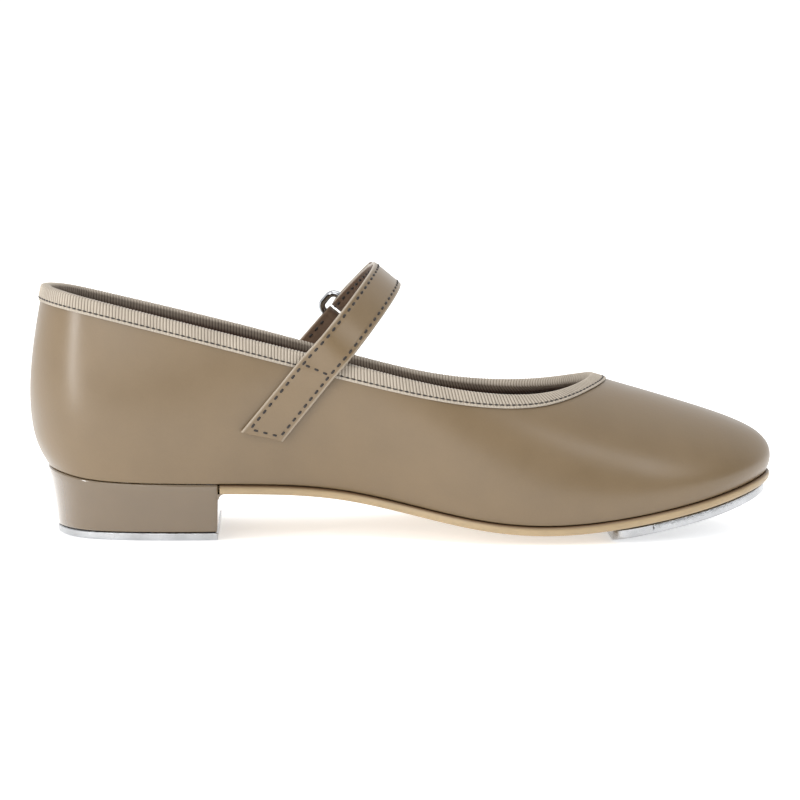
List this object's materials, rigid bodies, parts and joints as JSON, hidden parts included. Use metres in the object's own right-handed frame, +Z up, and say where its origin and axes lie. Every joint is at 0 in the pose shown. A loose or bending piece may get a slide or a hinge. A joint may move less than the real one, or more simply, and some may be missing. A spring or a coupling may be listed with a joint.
{
  "type": "tap shoe",
  "caption": "Low block-heeled left tap shoe with a smooth upper, ribbon-bound topline, hook-and-loop instep strap folded through a ring, and metal toe and heel taps.",
  "frame": {"origin": "on the floor, below the middle of the shoe", "axes": "+X towards the toe, +Y towards the outer side of a left shoe, +Z up"},
  "size_m": [0.24, 0.0781, 0.0868],
  "materials": {
    "upper_leather": "smooth coated leather, satin",
    "strap_inner": "unpolished inner face, matte",
    "lining_leather": "lining leather, matte",
    "vamp_fabric": "plain woven lining",
    "grosgrain": "ribbed grosgrain ribbon",
    "sock_fabric": "padded sock, matte",
    "filler_felt": "pressed felt",
    "board": "fibre board",
    "outsole": "resin sole, edge dressed and satin",
    "heel_plastic": "moulded, lacquered to match the upper",
    "tap_metal": "cast alloy, bright on the tread",
    "screw_steel": "zinc-plated steel",
    "ring_chrome": "polished",
    "hook_loop": "hook and loop tape"
  },
  "bodies": {
    "shoe": {"outsole": "outsole", "heel_block": "heel_plastic", "heel_tap": "tap_metal", "toe_tap": "tap_metal", "heel_tap_screw_1": "screw_steel", "heel_tap_screw_2": "screw_steel", "heel_tap_screw_3": "screw_steel", "toe_tap_screw_1": "screw_steel", "toe_tap_screw_2": "screw_steel", "toe_tap_screw_3": "screw_steel", "toe_tap_screw_4": "screw_steel", "shank": "screw_steel", "forepart_filler": "filler_felt", "insole_board": "board", "heel_nail_1": "screw_steel", "heel_nail_2": "screw_steel", "heel_nail_3": "screw_steel", "heel_nail_4": "screw_steel", "heel_seat_screw": "screw_steel", "sock_liner": "sock_fabric", "upper": "upper_leather", "heel_counter": "board", "toe_puff": "board", "quarter_lining": "lining_leather", "vamp_lining": "vamp_fabric", "topline_binding": "grosgrain", "strap": "upper_leather", "strap_lining": "strap_inner", "loop_patch": "hook_loop", "ring_keeper": "strap_inner"},
    "flap": {"strap_flap": "upper_leather", "strap_flap_lining": "strap_inner", "hook_patch": "hook_loop"},
    "ring": {"ring": "ring_chrome"}
  },
  "joints": [
    {"name": "flap_peel", "type": "hinge", "parent": "shoe", "child": "flap", "pos_m": [-0.01405, 0.0367, 0.07143], "axis": [-0.7683, 0, 0.6401], "range_deg": [0, 150]},
    {"name": "ring_swing", "type": "hinge", "parent": "shoe", "child": "ring", "pos_m": [-0.02018, 0.03709, 0.06407], "axis": [0.7683, 0, -0.6401], "range_deg": [-5, 5]}
  ]
}
